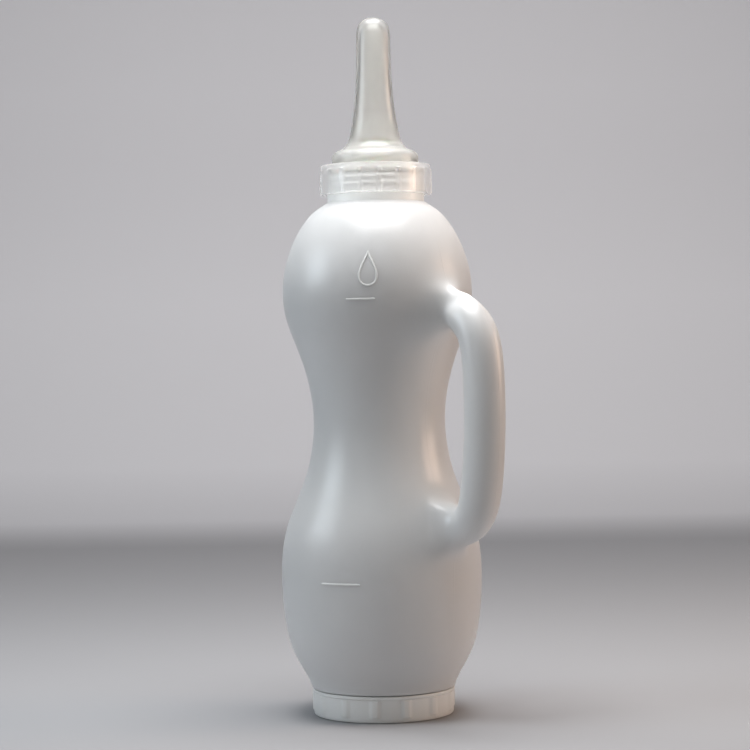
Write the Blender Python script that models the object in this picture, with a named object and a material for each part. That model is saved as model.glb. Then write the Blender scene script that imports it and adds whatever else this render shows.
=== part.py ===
"""Calf feeding bottle: a blown bottle with a side handle, a screwed teat collar and a screwed base cap.

The origin is the middle of the base cap's underside. +Z runs up the bottle's axis, and +X points to the
handle. Both screw threads are right-handed helices of one pitch, so a turned cap moves along its own thread.
"""

import math

import bmesh
import bpy
from mathutils import Vector

MM = 0.001
TURN = 2 * math.pi

# Blown bottle
WALL = 2.0 * MM
BODY_PROFILE = (  # height and outer radius of each ring of the body's cage, from the foot to the neck
    (19.0, 46.8), (26, 49.8), (36, 55.6), (50, 61.1), (70, 64.0), (88, 64.9), (106, 64.2), (124, 60.5),
    (142, 53.0), (158.5, 47.1), (175, 43.8), (191.5, 42.7), (208, 44.3), (224.5, 48.1), (241, 53.9),
    (259, 60.1), (277, 61.4), (292, 59.0), (306, 54.1), (317, 47.9), (325, 41.2), (330, 34.0), (331.6, 29.6),
)
HALF_COLUMN_ANGLES = (14, 40, 68, 96, 124, 152)  # between the handle and the far side, closer at the handle
COLUMN_ANGLES = (0, *HALF_COLUMN_ANGLES, 180, *(-angle for angle in reversed(HALF_COLUMN_ANGLES)))

# Screw threads
PITCH = 4.2 * MM
THREAD_DEPTH = 1.2 * MM
THREAD_ROOT_WIDTH = 1.7 * MM
THREAD_CREST_WIDTH = 0.8 * MM
THREAD_EMBED = 0.7 * MM
THREAD_STEPS = 32
THREAD_FADE = TURN / 10

# Neck finish
NECK_R = 30.3 * MM
NECK_BORE_R = 27.9 * MM
NECK_BAND_R = 31.4 * MM
NECK_BAND_TOP = 337.4 * MM
NECK_BAND_EDGE = 0.6 * MM
NECK_BOTTOM = 328.4 * MM
NECK_RIM = 349.4 * MM
NECK_THREAD_Z = 339.4 * MM
NECK_THREAD_TURNS = 2.0

# Foot finish
FOOT_R = 41.3 * MM
FOOT_BORE_R = 38.9 * MM
FOOT_RIM = 4.2 * MM
FOOT_THREAD_Z = 7.0 * MM
FOOT_THREAD_TURNS = 1.5
LEDGE_Z = 17.7 * MM
LEDGE_R = 46.0 * MM
LEDGE_TOP = 20.7 * MM
LEDGE_SLOPE_TOP = 22.7 * MM

# Handle: centreline stations in the XZ plane, each with its half depth in that plane and its half width
HANDLE_STATIONS = (
    (69.0, 261.5, 11.5, 7.5),
    (77.0, 257.6, 12.6, 12.0),
    (86.2, 249.4, 12.8, 12.9),
    (90.8, 239.5, 12.8, 13.2),
    (93.2, 225.0, 12.8, 13.2),
    (94.0, 204.0, 12.8, 13.2),
    (93.6, 184.0, 12.8, 13.2),
    (92.2, 164.0, 12.8, 13.2),
    (89.8, 147.5, 12.8, 13.2),
    (86.2, 135.0, 12.8, 12.9),
    (79.5, 127.0, 12.8, 11.8),
    (71.0, 124.5, 12.5, 9.5),
)
HANDLE_TOP_HEIGHT = 259
HANDLE_LOW_HEIGHT = 124
RING_COLUMNS = 8
FIN_THICKNESS = 2.4 * MM
FIN_OUTLINE = ((59.6, 279.4), (61.6, 279.2), (71.5, 272.4), (82, 267.6), (80, 264.5), (70, 265.5), (60, 271))

# Screw collar
COLLAR_TOP = 355.8 * MM
COLLAR_BOTTOM = 336.4 * MM
COLLAR_R = 35.7 * MM
COLLAR_RIB = 0.9 * MM
COLLAR_RIBS = 18
COLLAR_BORE_R = 32.2 * MM
COLLAR_LIP_R = 28.6 * MM
COLLAR_LIP_UNDER = 353.8 * MM
COLLAR_THREAD_TURNS = 1.25
COLLAR_EDGE = 1.6 * MM
COLLAR_RIB_TOP = 352.4 * MM

# Teat
TEAT_TOP = 451.4 * MM
TEAT_HOLE_R = 0.9 * MM
TEAT_HOLE_Z = 447.0 * MM
TEAT_STEPS = 28

# Teat valve
VALVE_DISC_R = 29.1 * MM
VALVE_DISC_UNDER = 349.7 * MM
VALVE_DISC_TOP = 351.3 * MM
VALVE_TUBE_R = 9.1 * MM
VALVE_TUBE_BORE_R = 7.6 * MM
VALVE_TUBE_TOP = 366.0 * MM
VALVE_SEAT_R = 4.2 * MM
VALVE_SEAT_Z = 353.0 * MM
VALVE_SEAT_CONE_TOP = 355.2 * MM
VENT_R = 0.9 * MM
VENT_OFFSET = 20 * MM
CAGE_BASE = 366.3 * MM
CAGE_TOP = 373.3 * MM
CAGE_BORE_R = 6.2 * MM
CAGE_SPIGOT_R = 7.3 * MM
CAGE_SPIGOT_LENGTH = 3.6 * MM
CAGE_EDGE = 0.8 * MM
CAGE_BAR = (14 * MM, 1.6 * MM, 2 * MM)
CAGE_BAR_Z = 369.2 * MM
BALL_R = 5.5 * MM
BALL_Z = 356.8 * MM
SMALL_STEPS = 24

# Base cap and seal
CAP_R = 45.4 * MM
CAP_RIB = 0.9 * MM
CAP_RIBS = 14
CAP_BORE_R = 43.2 * MM
CAP_TOP = 17.0 * MM
CAP_FLOOR = 2.2 * MM
CAP_THREAD_TURNS = 0.9
CAP_EDGE = 2.4 * MM
CAP_GRIP = (3.6 * MM, 14.0 * MM)
CAP_BEAD_Z = 14.8 * MM
CAP_BEAD_EDGE = 0.6 * MM
CAP_RECESS = ((38 * MM, 0.0), (37 * MM, 0.7 * MM), (27 * MM, 0.7 * MM), (26 * MM, 0.0))
SEAL_INNER_R = 38.3 * MM
SEAL_OUTER_R = 42.4 * MM
SEAL_UNDER = 2.5 * MM
SEAL_TOP = 3.9 * MM

ROUND_STEPS = 36
ARC_STEPS = 2
SMOOTH_ANGLE = math.radians(35)


def clear_scene():
    for old in list(bpy.data.objects):
        bpy.data.objects.remove(old)


def material(name, colour, roughness, metallic=0.0, alpha=1.0):
    """A Principled material of one colour."""
    made = bpy.data.materials.new(name)
    made.use_nodes = True
    shader = made.node_tree.nodes["Principled BSDF"]
    shader.inputs["Base Color"].default_value = (*colour, 1.0)
    shader.inputs["Roughness"].default_value = roughness
    shader.inputs["Metallic"].default_value = metallic
    shader.inputs["Alpha"].default_value = alpha
    return made


def object_from(name, mesh_data, finish=None):
    """An object in the scene from a bmesh, with its normals outward and round faces smooth."""
    bmesh.ops.recalc_face_normals(mesh_data, faces=mesh_data.faces)
    mesh = bpy.data.meshes.new(name)
    mesh_data.to_mesh(mesh)
    mesh_data.free()
    mesh.shade_smooth()
    mesh.set_sharp_from_angle(angle=SMOOTH_ANGLE)
    made = bpy.data.objects.new(name, mesh)
    bpy.context.scene.collection.objects.link(made)
    if finish:
        made.data.materials.append(finish)
    return made


def helper(made):
    """Marks an object as a cutter or a joined piece, which isn't a node of its own."""
    made.hide_render = True
    made.display_type = "WIRE"
    return made


def boolean(target, other, operation):
    step = target.modifiers.new(f"{operation.lower()}_{other.name}", "BOOLEAN")
    step.operation = operation
    step.solver = "EXACT"
    step.object = other


def turned(name, outline, finish=None, steps=ROUND_STEPS, ribs=0, rib_height=0.0, capped=False):
    """A solid turned about Z from an outline of (radius, height) points, none of them on the axis.

    A point with a third value, 1, carries the ribs, which stand out evenly around it. The outline is closed
    on itself, unless capped is set: then flat faces close its first and last ring.
    """
    around = rib_angles(ribs) if ribs else [(TURN * i / steps, 0.0) for i in range(steps)]
    mesh_data = bmesh.new()
    rings = []
    for radius, height, *ribbed in outline:
        reach = rib_height if ribbed else 0.0
        points = [(radius + reach * raised, angle) for angle, raised in around]
        rings.append([mesh_data.verts.new((r * math.cos(a), r * math.sin(a), height)) for r, a in points])
    for ring, following in zip(rings, rings[1:]):
        join_rings(mesh_data, ring, following)
    if capped:
        mesh_data.faces.new(rings[0])
        mesh_data.faces.new(rings[-1])
    else:
        join_rings(mesh_data, rings[-1], rings[0])
    return object_from(name, mesh_data, finish)


def rib_angles(ribs):
    """(angle, raised) pairs around a circle: each rib has two raised columns between two plain ones."""
    spacing = TURN / ribs
    columns = ((-0.16, 0.0), (-0.09, 1.0), (0.09, 1.0), (0.16, 0.0), (0.5, 0.0))
    return [(spacing * (i + share), raised) for i in range(ribs) for share, raised in columns]


def join_rings(mesh_data, ring, following):
    """Quads between two rings of equally many vertices."""
    count = len(ring)
    for i in range(count):
        after = (i + 1) % count
        mesh_data.faces.new((ring[i], ring[after], following[after], following[i]))


def arc(centre_r, centre_z, radius, start, end):
    """Points on an arc in an outline, from start to end in degrees."""
    angles = [math.radians(start + (end - start) * i / ARC_STEPS) for i in range(ARC_STEPS + 1)]
    return [(centre_r + radius * math.cos(a), centre_z + radius * math.sin(a)) for a in angles]


def thread_ridge(name, surface_r, side, start_z, turns):
    """A helical ridge on a round wall, from the +X side up: side is +1 on an outer wall, -1 on an inner one.

    It is embedded in the wall, and its ends sink into the wall over a tenth of a turn.
    """
    mesh_data = bmesh.new()
    steps = math.ceil(turns * THREAD_STEPS)
    root = surface_r - side * THREAD_EMBED
    sunk = surface_r - side * THREAD_EMBED / 2
    full = surface_r + side * THREAD_DEPTH
    rings = []
    for i in range(steps + 1):
        swept = turns * TURN * i / steps
        rise = min(1.0, swept / THREAD_FADE, (turns * TURN - swept) / THREAD_FADE)
        crest = sunk + (full - sunk) * rise
        height = start_z + PITCH * swept / TURN
        corners = (
            (root, -THREAD_ROOT_WIDTH / 2),
            (crest, -THREAD_CREST_WIDTH / 2),
            (crest, THREAD_CREST_WIDTH / 2),
            (root, THREAD_ROOT_WIDTH / 2),
        )
        across, along = math.cos(swept), math.sin(swept)
        rings.append([mesh_data.verts.new((r * across, r * along, height + up)) for r, up in corners])
    for ring, following in zip(rings, rings[1:]):
        join_rings(mesh_data, ring, following)
    mesh_data.faces.new(rings[0])
    mesh_data.faces.new(rings[-1])
    return helper(object_from(name, mesh_data))


def subdivided_cage(points):
    """The cage points whose subdivided curve passes through the points given. The ends stay as they are."""
    inner = [
        here - (before - 2 * here + after) / 6
        for before, here, after in zip(points, points[1:], points[2:])
    ]
    return [points[0], *inner, points[-1]]


def body_cage(mesh_data):
    """The body's rings of cage vertices, from the foot up, which subdivide to the profile's round rings."""
    angles = [math.radians(a) for a in COLUMN_ANGLES]
    count = len(angles)
    gaps = [math.cos(angles[(i + 1) % count] - angles[i]) for i in range(count)]
    spread = [6 / (4 + gaps[i - 1] + gaps[i]) for i in range(count)]
    profile = subdivided_cage([Vector((radius, 0, height)) * MM for height, radius in BODY_PROFILE])
    grid = []
    for point in profile:
        radii = [point.x * more for more in spread]
        around = zip(radii, angles)
        grid.append([mesh_data.verts.new((r * math.cos(a), r * math.sin(a), point.z)) for r, a in around])
    for ring, following in zip(grid, grid[1:]):
        join_rings(mesh_data, ring, following)
    return grid


def open_patch(mesh_data, grid, height):
    """Opens four faces round the cage vertex at Y 0 and this height. Their edge runs from its top by +Y."""
    row = [station[0] for station in BODY_PROFILE].index(height)
    low, middle, high = grid[row - 1], grid[row], grid[row + 1]
    bmesh.ops.delete(mesh_data, geom=[middle[0]], context="VERTS")
    return [high[0], high[1], middle[1], low[1], low[0], low[-1], middle[-1], high[-1]]


def handle_rings(mesh_data):
    """The handle's rings of cage vertices, each starting on its outer side and going round by +Y."""
    centres = subdivided_cage([Vector((x, 0, z)) * MM for x, z, depth, width in HANDLE_STATIONS])
    spread = 3 / (2 + math.cos(TURN / RING_COLUMNS))
    turns = [TURN * k / RING_COLUMNS for k in range(RING_COLUMNS)]
    rings = []
    for i, (centre, (x, z, depth, width)) in enumerate(zip(centres, HANDLE_STATIONS)):
        before, after = centres[max(i - 1, 0)], centres[min(i + 1, len(centres) - 1)]
        along = (after - before).normalized()
        outward = Vector((-along.z, 0, along.x)) * depth * spread * MM
        sideways = Vector((0, width * spread * MM, 0))
        offsets = [outward * math.cos(turn) + sideways * math.sin(turn) for turn in turns]
        rings.append([mesh_data.verts.new(centre + offset) for offset in offsets])
    return rings


def bottle_shell(finish):
    """The blown bottle: a subdivided cage, a hollow handle let into it, and the neck and foot finishes."""
    mesh_data = bmesh.new()
    grid = body_cage(mesh_data)
    top_edge = open_patch(mesh_data, grid, HANDLE_TOP_HEIGHT)
    low_edge = open_patch(mesh_data, grid, HANDLE_LOW_HEIGHT)
    # The handle's outer side faces down at its lower end, so that edge starts at its lowest vertex.
    half = RING_COLUMNS // 2
    low_edge = [low_edge[(half - i) % RING_COLUMNS] for i in range(RING_COLUMNS)]
    rings = [top_edge, *handle_rings(mesh_data), low_edge]
    for ring, following in zip(rings, rings[1:]):
        join_rings(mesh_data, ring, following)

    shell = object_from("bottle_shell", mesh_data, finish)
    smooth = shell.modifiers.new("smooth", "SUBSURF")
    smooth.levels = 1
    smooth.render_levels = 1
    wall = shell.modifiers.new("wall", "SOLIDIFY")
    wall.thickness = WALL
    wall.offset = -1
    wall.use_even_offset = True
    joined = (
        neck_finish(),
        foot_finish(),
        thread_ridge("neck_thread", NECK_R, 1, NECK_THREAD_Z, NECK_THREAD_TURNS),
        thread_ridge("foot_thread", FOOT_R, 1, FOOT_THREAD_Z, FOOT_THREAD_TURNS),
        handle_fin(),
    )
    for piece in joined:
        boolean(shell, piece, "UNION")
    return shell


def neck_finish():
    """The stiff tube of the neck, with a plain band under its thread."""
    outline = [(NECK_BORE_R, NECK_BOTTOM), (NECK_BAND_R, NECK_BOTTOM), (NECK_BAND_R, NECK_BAND_TOP)]
    outline += [(NECK_R, NECK_BAND_TOP + NECK_BAND_EDGE), (NECK_R, NECK_RIM), (NECK_BORE_R, NECK_RIM)]
    return helper(turned("neck_finish", outline))


def foot_finish():
    """The open tube of the foot, and the ledge over it that the body's wall stands on."""
    outline = [(FOOT_BORE_R, FOOT_RIM), (FOOT_R, FOOT_RIM), (FOOT_R, LEDGE_Z), (LEDGE_R, LEDGE_Z)]
    outline += [(LEDGE_R, LEDGE_TOP), (FOOT_BORE_R, LEDGE_SLOPE_TOP)]
    return helper(turned("foot_finish", outline))


def handle_fin():
    """The thin web on the mould's parting plane, between the body and the top of the handle."""
    mesh_data = bmesh.new()
    corners = [Vector((x * MM, -FIN_THICKNESS / 2, z * MM)) for x, z in FIN_OUTLINE]
    flat = mesh_data.faces.new([mesh_data.verts.new(corner) for corner in corners])
    thick = bmesh.ops.extrude_face_region(mesh_data, geom=[flat])["geom"]
    moved = [v for v in thick if isinstance(v, bmesh.types.BMVert)]
    bmesh.ops.translate(mesh_data, verts=moved, vec=(0, FIN_THICKNESS, 0))
    return helper(object_from("handle_fin", mesh_data))


def screw_collar(finish):
    """The ring that clamps the teat on the neck: a lip on top, ribs outside and a thread inside."""
    outline = [(COLLAR_BORE_R, COLLAR_BOTTOM), (COLLAR_R, COLLAR_BOTTOM, 1), (COLLAR_R, COLLAR_RIB_TOP, 1)]
    outline += arc(COLLAR_R - COLLAR_EDGE, COLLAR_TOP - COLLAR_EDGE, COLLAR_EDGE, 0, 90)
    outline += [(COLLAR_LIP_R, COLLAR_TOP), (COLLAR_LIP_R, COLLAR_LIP_UNDER)]
    outline += [(COLLAR_BORE_R, COLLAR_LIP_UNDER)]
    collar = turned("screw_collar", outline, finish, ribs=COLLAR_RIBS, rib_height=COLLAR_RIB)
    start = NECK_THREAD_Z + PITCH / 2
    boolean(collar, thread_ridge("collar_thread", COLLAR_BORE_R, -1, start, COLLAR_THREAD_TURNS), "UNION")
    return collar


def teat(finish):
    """The soft teat: a flange under the collar's lip, a domed skirt and a long nozzle with a milk hole."""
    outside = (
        (31.2, 349.7), (31.2, 353.5), (27.9, 353.5), (27.9, 356.4), (28.2, 359.4), (27.8, 362.0),
        (26.4, 363.8), (24.0, 365.1), (21.2, 366.4), (19.3, 368.2), (17.4, 371.2), (15.3, 379),
        (13.3, 392), (11.9, 407), (11.3, 424), (10.95, 438), (10.5, 443.4), (9.0, 447.2),
        (6.4, 449.8), (3.4, 451.1),
    )
    inside = (
        (3.0, 446.4), (6.0, 443.8), (7.6, 438), (8.2, 427), (9.2, 409), (10.9, 392), (12.8, 379),
        (14.6, 371.8), (16.8, 367.4), (21.6, 363), (24.8, 359.4), (25.3, 351.6), (29.5, 351.6),
        (29.5, 349.7),
    )
    outline = [(r * MM, z * MM) for r, z in outside]
    outline += [(TEAT_HOLE_R, TEAT_TOP), (TEAT_HOLE_R, TEAT_HOLE_Z)]
    outline += [(r * MM, z * MM) for r, z in inside]
    return turned("teat", outline, finish, steps=TEAT_STEPS)


def valve_insert(finish):
    """A disc on the neck's rim, with a tube that holds the check ball over its seat, and a vent hole."""
    outline = [(VALVE_SEAT_R, VALVE_DISC_UNDER), (VALVE_DISC_R, VALVE_DISC_UNDER)]
    outline += [(VALVE_DISC_R, VALVE_DISC_TOP), (VALVE_TUBE_R, VALVE_DISC_TOP)]
    outline += [(VALVE_TUBE_R, VALVE_TUBE_TOP), (VALVE_TUBE_BORE_R, VALVE_TUBE_TOP)]
    outline += [(VALVE_TUBE_BORE_R, VALVE_SEAT_CONE_TOP), (VALVE_SEAT_R, VALVE_SEAT_Z)]
    insert = turned("valve_insert", outline, finish, steps=SMALL_STEPS)
    drill = bmesh.new()
    length = 4 * (VALVE_DISC_TOP - VALVE_DISC_UNDER)
    bmesh.ops.create_cone(drill, cap_ends=True, segments=12, radius1=VENT_R, radius2=VENT_R, depth=length)
    bmesh.ops.translate(drill, verts=drill.verts, vec=(0, -VENT_OFFSET, VALVE_DISC_TOP))
    boolean(insert, helper(object_from("vent_drill", drill)), "DIFFERENCE")
    return insert


def valve_cage(finish):
    """The cap pressed into the valve's tube, with a bar that stops the ball and lets the milk by."""
    spigot_end = CAGE_BASE - CAGE_SPIGOT_LENGTH
    outline = [(CAGE_BORE_R, spigot_end), (CAGE_SPIGOT_R, spigot_end), (CAGE_SPIGOT_R, CAGE_BASE)]
    outline += [(VALVE_TUBE_R, CAGE_BASE)]
    outline += arc(VALVE_TUBE_R - CAGE_EDGE, CAGE_TOP - CAGE_EDGE, CAGE_EDGE, 0, 90)
    outline += [(CAGE_BORE_R, CAGE_TOP)]
    cage = turned("valve_cage", outline, finish, steps=SMALL_STEPS)
    mesh_data = bmesh.new()
    bmesh.ops.create_cube(mesh_data, size=1)
    bmesh.ops.scale(mesh_data, verts=mesh_data.verts, vec=CAGE_BAR)
    bmesh.ops.translate(mesh_data, verts=mesh_data.verts, vec=(0, 0, CAGE_BAR_Z))
    boolean(cage, helper(object_from("cage_bar", mesh_data)), "UNION")
    return cage


def valve_ball(finish):
    mesh_data = bmesh.new()
    bmesh.ops.create_icosphere(mesh_data, subdivisions=2, radius=BALL_R)
    ball = object_from("valve_ball", mesh_data, finish)
    ball.location = (0, 0, BALL_Z)
    return ball


def base_cap(finish):
    """The screwed cap that the bottle stands on, closed below, with ribs outside and a thread inside."""
    grip_low, grip_high = CAP_GRIP
    bead_r = CAP_R + CAP_RIB
    outline = [(CAP_BORE_R, CAP_FLOOR), (CAP_BORE_R, CAP_TOP)]
    outline += [(bead_r - CAP_BEAD_EDGE, CAP_TOP), (bead_r, CAP_TOP - CAP_BEAD_EDGE), (bead_r, CAP_BEAD_Z)]
    outline += [(CAP_R, grip_high, 1), (CAP_R, grip_low, 1)]
    outline += arc(CAP_R - CAP_EDGE, CAP_EDGE, CAP_EDGE, 0, -90)
    outline += CAP_RECESS
    cap = turned("base_cap", outline, finish, ribs=CAP_RIBS, rib_height=CAP_RIB, capped=True)
    start = FOOT_THREAD_Z + PITCH / 2
    boolean(cap, thread_ridge("cap_thread", CAP_BORE_R, -1, start, CAP_THREAD_TURNS), "UNION")
    return cap


def base_seal(finish):
    """The flat ring between the base cap's floor and the bottle's foot."""
    outline = [(SEAL_INNER_R, SEAL_UNDER), (SEAL_OUTER_R, SEAL_UNDER)]
    outline += [(SEAL_OUTER_R, SEAL_TOP), (SEAL_INNER_R, SEAL_TOP)]
    return turned("base_seal", outline, finish)


def main():
    clear_scene()
    polyethylene = material("white_polyethylene", (0.86, 0.87, 0.86), 0.38)
    polypropylene = material("clear_polypropylene", (0.88, 0.89, 0.86), 0.25, alpha=0.55)
    silicone = material("silicone", (0.84, 0.84, 0.77), 0.3, alpha=0.6)
    valve_plastic = material("valve_plastic", (0.9, 0.91, 0.84), 0.35)
    steel = material("stainless_steel", (0.7, 0.7, 0.72), 0.2, metallic=1.0)
    cap_plastic = material("cap_polyethylene", (0.84, 0.85, 0.84), 0.35)
    seal_rubber = material("seal_rubber", (0.75, 0.74, 0.7), 0.6)

    bottle_shell(polyethylene)
    screw_collar(polypropylene)
    teat(silicone)
    valve_insert(valve_plastic)
    valve_cage(valve_plastic)
    valve_ball(steel)
    base_cap(cap_plastic)
    base_seal(seal_rubber)


main()
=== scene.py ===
"""Looks of the calf feeding bottle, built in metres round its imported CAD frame.

Every CAD node is replaced by a fine mesh of the same shape on the same body, so the joints still move it.
The neck is a piece of its own, because the lamps that light the clear collar also light the neck inside it.
"""

import math

import bmesh
import bpy
from mathutils import Matrix, Vector
from mathutils.bvhtree import BVHTree


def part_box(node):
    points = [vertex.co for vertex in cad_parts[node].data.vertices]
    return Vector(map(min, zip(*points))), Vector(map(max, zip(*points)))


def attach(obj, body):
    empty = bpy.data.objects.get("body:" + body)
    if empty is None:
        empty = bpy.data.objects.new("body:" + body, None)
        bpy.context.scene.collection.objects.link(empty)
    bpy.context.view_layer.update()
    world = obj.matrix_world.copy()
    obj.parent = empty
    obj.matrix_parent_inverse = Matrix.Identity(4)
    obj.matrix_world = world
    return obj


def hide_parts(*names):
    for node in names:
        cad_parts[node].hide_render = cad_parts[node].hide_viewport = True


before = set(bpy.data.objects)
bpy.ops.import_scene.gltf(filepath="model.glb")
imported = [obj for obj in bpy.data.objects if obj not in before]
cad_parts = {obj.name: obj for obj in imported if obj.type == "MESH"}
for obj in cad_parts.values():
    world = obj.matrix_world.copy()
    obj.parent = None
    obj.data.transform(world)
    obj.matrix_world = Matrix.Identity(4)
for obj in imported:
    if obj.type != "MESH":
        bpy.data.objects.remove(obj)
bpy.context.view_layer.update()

MM = 0.001
TURN = 2 * math.pi
SMOOTH_ANGLE = math.radians(32)

# Blown bottle: the CAD model's cage, subdivided further
WALL = 2.0 * MM
BODY_LEVELS = 3
BODY_PROFILE = (  # height and outer radius of each ring of the cage, from the foot to the neck
    (19.0, 46.8), (26, 49.8), (36, 55.6), (50, 61.1), (70, 64.0), (88, 64.9), (106, 64.2), (124, 60.5),
    (142, 53.0), (158.5, 47.1), (175, 43.8), (191.5, 42.7), (208, 44.3), (224.5, 48.1), (241, 53.9),
    (259, 60.1), (277, 61.4), (292, 59.0), (306, 54.1), (317, 47.9), (325, 41.2), (330.4, 33.6),
)
HALF_COLUMN_ANGLES = (14, 40, 68, 96, 124, 152)
COLUMN_ANGLES = (0, *HALF_COLUMN_ANGLES, 180, *(-angle for angle in reversed(HALF_COLUMN_ANGLES)))
HANDLE_STATIONS = (  # x and z of the centreline, half depth and half width
    (69.0, 261.5, 11.5, 7.5), (77.0, 257.6, 12.6, 12.0), (86.2, 249.4, 12.8, 12.9),
    (90.8, 239.5, 12.8, 13.2), (93.2, 225.0, 12.8, 13.2), (94.0, 204.0, 12.8, 13.2),
    (93.6, 184.0, 12.8, 13.2), (92.2, 164.0, 12.8, 13.2), (89.8, 147.5, 12.8, 13.2),
    (86.2, 135.0, 12.8, 12.9), (79.5, 127.0, 12.8, 11.8), (71.0, 124.5, 12.5, 9.5),
)
HANDLE_TOP_HEIGHT = 259
HANDLE_LOW_HEIGHT = 124
RING_COLUMNS = 8
FIN_SECTION = (  # outward and sideways shares of the handle's first section, a drop drawn up into a thin fin
    (0.88, 0.0), (0.42, 0.2), (-0.05, 0.85), (-0.66, 0.66),
    (-1.0, 0.0), (-0.66, -0.66), (-0.05, -0.85), (0.42, -0.2),
)
RIDGE_CREASE = (1.0, 1.0, 0.5)

# Neck and foot: the bottle's CAD box ends at their rims
NECK_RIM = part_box("bottle_shell")[1].z
FOOT_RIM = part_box("bottle_shell")[0].z
NECK_R, NECK_BORE_R, NECK_BAND_R = 30.3 * MM, 27.9 * MM, 31.4 * MM
NECK_BAND_TOP = NECK_RIM - 12.0 * MM
NECK_FOOT = 330.4 * MM
NECK_STEPS = 192
NEAR = 0.1 * MM  # a point within this of a wall's radius belongs to the wall
SHOULDER_TOP = 331.6 * MM
SHOULDER_INNER_R = 28.4 * MM
FOOT_R, FOOT_BORE_R = 41.3 * MM, 38.9 * MM
LEDGE_R, LEDGE_Z = 46.3 * MM, FOOT_RIM + 13.5 * MM
RIM_ROUNDING = 0.5 * MM

# Screw threads. Side is 1 outside a wall and -1 inside one. The caps' threads start half a pitch higher.
PITCH = 4.2 * MM
THREAD_DEPTH, THREAD_ROOT_WIDTH, THREAD_CREST_WIDTH = 1.2 * MM, 1.7 * MM, 0.8 * MM
THREAD_ROW = 0.3 * MM
THREAD_FADE = 0.1  # turns in which a thread's ends rise
NECK_THREAD = {"start": NECK_RIM - 10.0 * MM, "turns": 2.0, "side": 1}
FOOT_THREAD = {"start": FOOT_RIM + 2.8 * MM, "turns": 1.5, "side": 1}
COLLAR_THREAD = {"start": NECK_THREAD["start"] + PITCH / 2, "turns": 1.25, "side": -1}
CAP_THREAD = {"start": FOOT_THREAD["start"] + PITCH / 2, "turns": 0.9, "side": -1}

# Grip ribs of the collar and the base cap. Their width and slope are shares of the distance between two ribs.
RIB_RISE = 0.9 * MM
RIB_HALF_WIDTH, RIB_SLOPE = 0.16, 0.07
COLLAR_RIBS, COLLAR_RIB_STEPS = 18, 14
CAP_RIBS, CAP_RIB_STEPS, CAP_GRIP_ROWS = 14, 18, 12

# Collar
COLLAR_R, COLLAR_BORE_R, COLLAR_LIP_R = 35.7 * MM, 32.2 * MM, 28.6 * MM
COLLAR_LIP = 2.0 * MM
COLLAR_ROWS = (0.2, 0.4, 0.6, 0.75, 0.8, 0.84, 0.88)  # shares of its height

# Teat: outlines of radius and height in millimetres, up the outside and down the bore
TEAT_STEPS = 96
TEAT_SKIN = (
    (27.9, 356.0), (28.2, 359.4), (27.8, 362.0), (26.4, 363.8), (24.0, 365.1), (21.2, 366.4),
    (19.3, 368.2), (17.4, 371.2), (15.3, 379), (13.3, 392), (11.9, 407), (11.3, 424), (10.95, 438),
    (10.5, 443.4), (9.0, 447.2), (6.4, 449.8), (3.4, 451.1), (1.2, 451.38),
)
TEAT_BORE = (
    (1.6, 446.9), (3.4, 446.4), (6.2, 443.8), (7.6, 438), (8.2, 427), (9.2, 411), (11.1, 394),
    (13.2, 379), (15.4, 371.2), (17.8, 367), (21.6, 363), (24.6, 359.2), (25.3, 354.5),
)
TEAT_HOLE_R, TEAT_HOLE_LOW = 0.9 * MM, 447.0 * MM
FLANGE_R, FLANGE_HEIGHT = 31.2 * MM, 3.8 * MM
DISC_POCKET_R, DISC_POCKET_DEPTH = 29.5 * MM, 1.9 * MM
SKIRT_R, SKIRT_LOW = 27.9 * MM, 355 * MM
SKIRT_BORE_R, SKIRT_BORE_LOW = 25.3 * MM, 353.5 * MM

# Valve
VALVE_STEPS = 72
DISC_R, DISC_THICKNESS = 29.1 * MM, 1.6 * MM
TUBE_R, TUBE_BORE_R = 9.1 * MM, 7.6 * MM
SEAT_R, SEAT_Z, TUBE_FLOOR_Z = 4.2 * MM, 353.0 * MM, 355.2 * MM
CAGE_BORE_R, SPIGOT_R, CAGE_SHOULDER_Z = 6.2 * MM, 7.3 * MM, 366.3 * MM
VALVE_BAR = (13.4 * MM, 1.6 * MM, 2.0 * MM)
VALVE_BAR_Z = 369.2 * MM
VALVE_BAR_BEVEL = 0.35 * MM
BALL_R = 5.45 * MM

# Base cap and its seal. Under the cap a shallow groove parts an outer ring from a middle disc.
CAP_R, CAP_BORE_R, CAP_FLOOR = 45.4 * MM, 43.2 * MM, 2.2 * MM
CAP_BEAD_R = CAP_R + RIB_RISE - 0.1 * MM
CAP_MIDDLE_R = 20 * MM
GROOVE_OUTER_R, GROOVE_INNER_R, GROOVE_WALL, GROOVE_DEPTH = 38 * MM, 26 * MM, 1.0 * MM, 0.7 * MM
SEAL_INNER_R, SEAL_OUTER_R, SEAL_ROUNDING = 38.3 * MM, 42.4 * MM, 0.4 * MM
SEAL_STEPS = 96

# Raised marks on the body: their angle about Z in degrees and their height in millimetres
BODY_REACH = 60 * MM  # the body's usual radius, which turns an angle on it into a length
MARK_WIDTH, MARK_RISE, MARK_SINK = 1.6 * MM, 0.4 * MM, 0.25 * MM
MARK_SECTION = (  # shares of half the width, and heights
    (-1.0, -MARK_SINK), (-0.8, 0.55 * MARK_RISE), (-0.4, 0.95 * MARK_RISE), (0.0, MARK_RISE),
    (0.4, 0.95 * MARK_RISE), (0.8, 0.55 * MARK_RISE), (1.0, -MARK_SINK),
)
MARK_STEPS, DROP_STEPS = 24, 56
LEVEL_MARKS = (((-62.5, -45.5), 268.0), ((-79.5, -56.5), 90.0))
DROP_CENTRE = (-49.5, 287.0)
DROP_HALF_WIDTH, DROP_HEIGHT = 8.0 * MM, 21.0 * MM
DROP_POINT = 1.6  # how sharply the drop's top closes

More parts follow.
